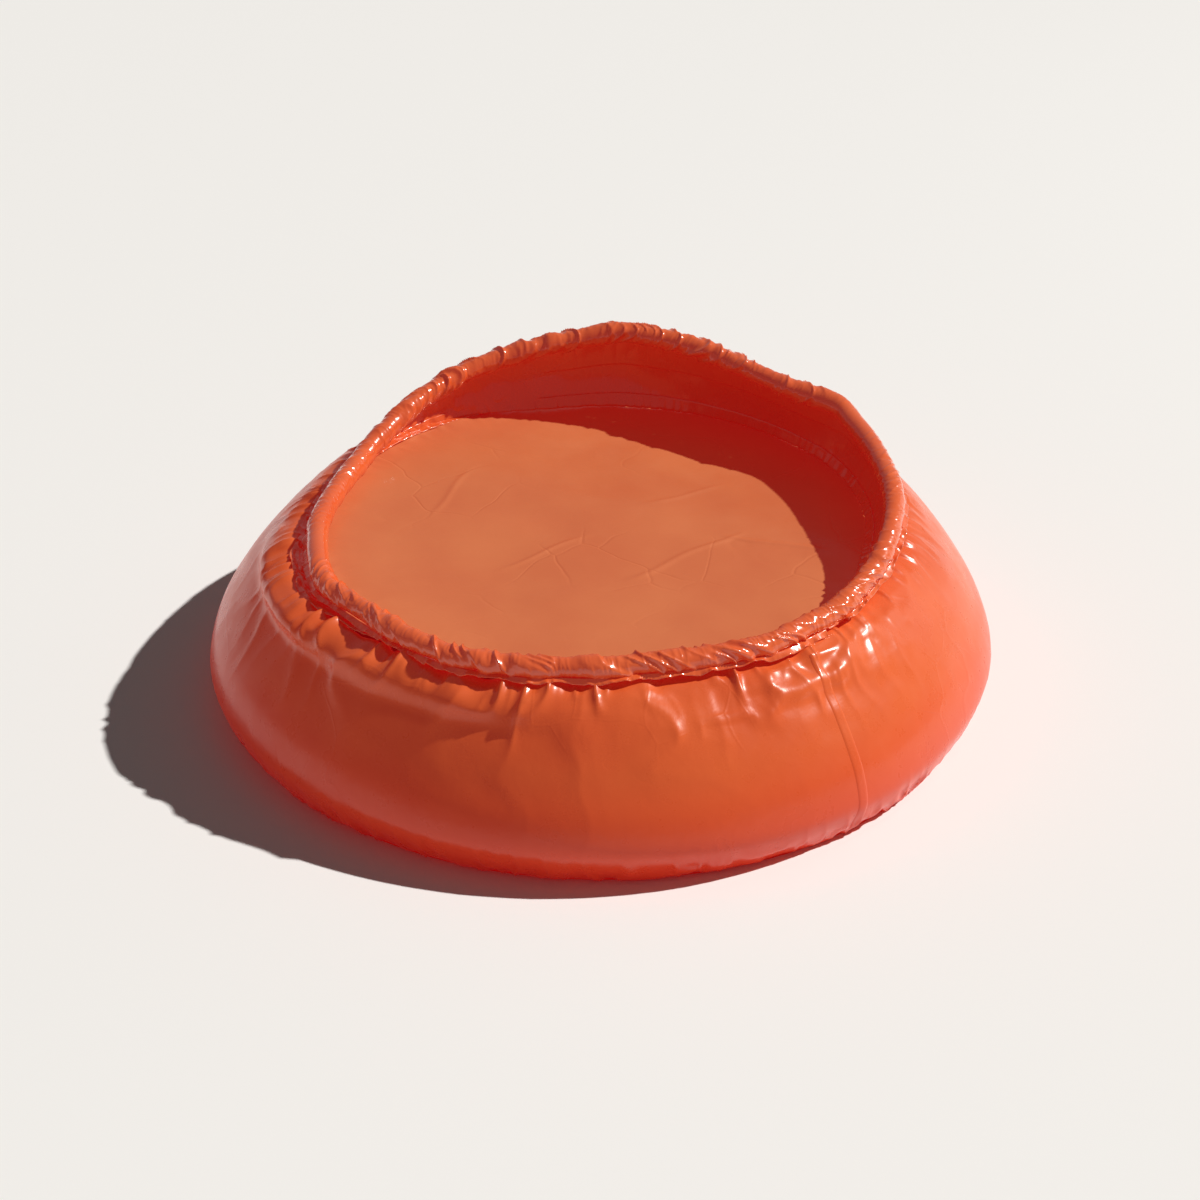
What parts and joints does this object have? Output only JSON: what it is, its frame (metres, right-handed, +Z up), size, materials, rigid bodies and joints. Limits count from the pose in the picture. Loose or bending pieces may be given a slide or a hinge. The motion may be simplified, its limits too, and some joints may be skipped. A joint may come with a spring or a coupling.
{
  "type": "water filled barrier",
  "caption": "Round film cushion filled with water that seals against the ground, with a flat deck and a limp collar held open by a foam-filled hem tube.",
  "frame": {"origin": "on the ground under the middle of the round belly", "axes": "+Z up; +Y towards the raised back of the hem tube; -Y towards the low front"},
  "size_m": [0.8898, 0.8898, 0.3199],
  "materials": {
    "belly_film": "gloss",
    "deck_film": "satin",
    "collar_film": "gloss",
    "hem_film": "gloss",
    "weld_film": "gloss",
    "foam": "matte",
    "water": "gloss",
    "valve_plastic": "satin"
  },
  "bodies": {
    "water_bag": {"base_disc": "belly_film", "base_weld_flange": "weld_film", "belly_wall": "belly_film", "belly_lap_seam": "weld_film", "deck_membrane": "deck_film", "shoulder_weld_band": "weld_film", "water_ballast": "water", "collar_back": "collar_film", "hem_band_back": "collar_film", "collar_lap_patch": "weld_film", "collar_front": "collar_film", "hem_fold_right": "hem_film", "hem_fold_left": "hem_film", "fill_valve_body": "valve_plastic"},
    "rim_back": {"hem_sleeve_back": "hem_film", "hem_weld_fin_back": "weld_film", "rim_float_1": "foam", "rim_float_2": "foam", "rim_float_3": "foam", "rim_float_4": "foam"},
    "rim_front": {"hem_sleeve_front": "hem_film", "hem_weld_fin_front": "weld_film", "rim_float_5": "foam", "rim_float_6": "foam", "rim_float_7": "foam", "rim_float_8": "foam"},
    "valve_cap": {"fill_valve_cap": "valve_plastic"}
  },
  "joints": [
    {"name": "rim_back_fold", "type": "hinge", "parent": "water_bag", "child": "rim_back", "pos_m": [0.24598, -0.23548, 0.2065], "axis": [0.8039, -0.5948, 0], "range_deg": [-16, 0], "deforming": ["collar_back", "hem_band_back", "collar_lap_patch"]},
    {"name": "rim_front_lift", "type": "hinge", "parent": "water_bag", "child": "rim_front", "pos_m": [0.24598, -0.23548, 0.2065], "axis": [-0.8039, 0.5948, 0], "range_deg": [0, 11], "deforming": ["collar_front"]},
    {"name": "valve_cap_flip", "type": "hinge", "parent": "water_bag", "child": "valve_cap", "pos_m": [-0.10007, 0.40138, 0.14785], "axis": [0.9703, 0.2419, 0], "range_deg": [0, 120]}
  ]
}
